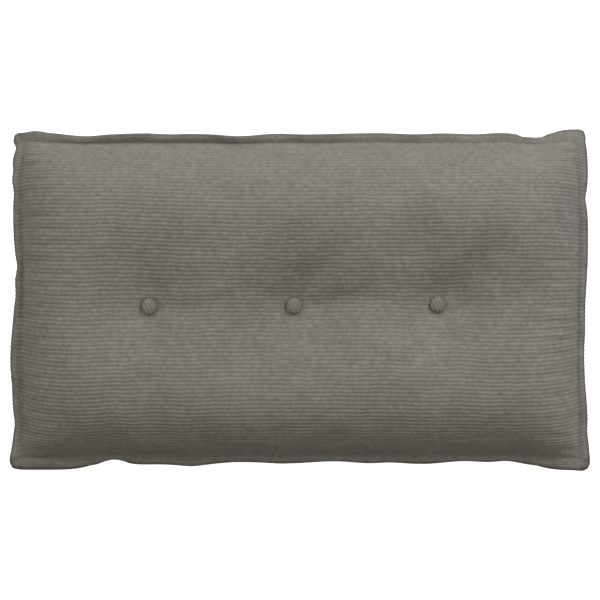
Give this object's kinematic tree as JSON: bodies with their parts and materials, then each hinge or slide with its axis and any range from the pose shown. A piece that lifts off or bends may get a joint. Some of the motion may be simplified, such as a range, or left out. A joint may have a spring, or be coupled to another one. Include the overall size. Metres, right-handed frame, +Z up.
{
  "type": "back cushion",
  "caption": "Rectangular back cushion of ribbed cloth with a sewn flange all round and covered buttons tufted along its middle, lying on its back.",
  "frame": {"origin": "under the middle of the outline, on the face that it rests on", "axes": "+X along the cushion, +Y towards its upper edge, +Z up out of the buttoned face"},
  "size_m": [0.7038, 0.4126, 0.1074],
  "materials": {
    "ribbed_cloth": "matt ribbed pile cloth in warm grey",
    "button_cloth": "matt ribbed pile cloth in warm grey, stretched over a button"
  },
  "bodies": {
    "root": {"cushion": "ribbed_cloth", "button_left": "button_cloth", "button_middle": "button_cloth", "button_right": "button_cloth"}
  },
  "joints": []
}
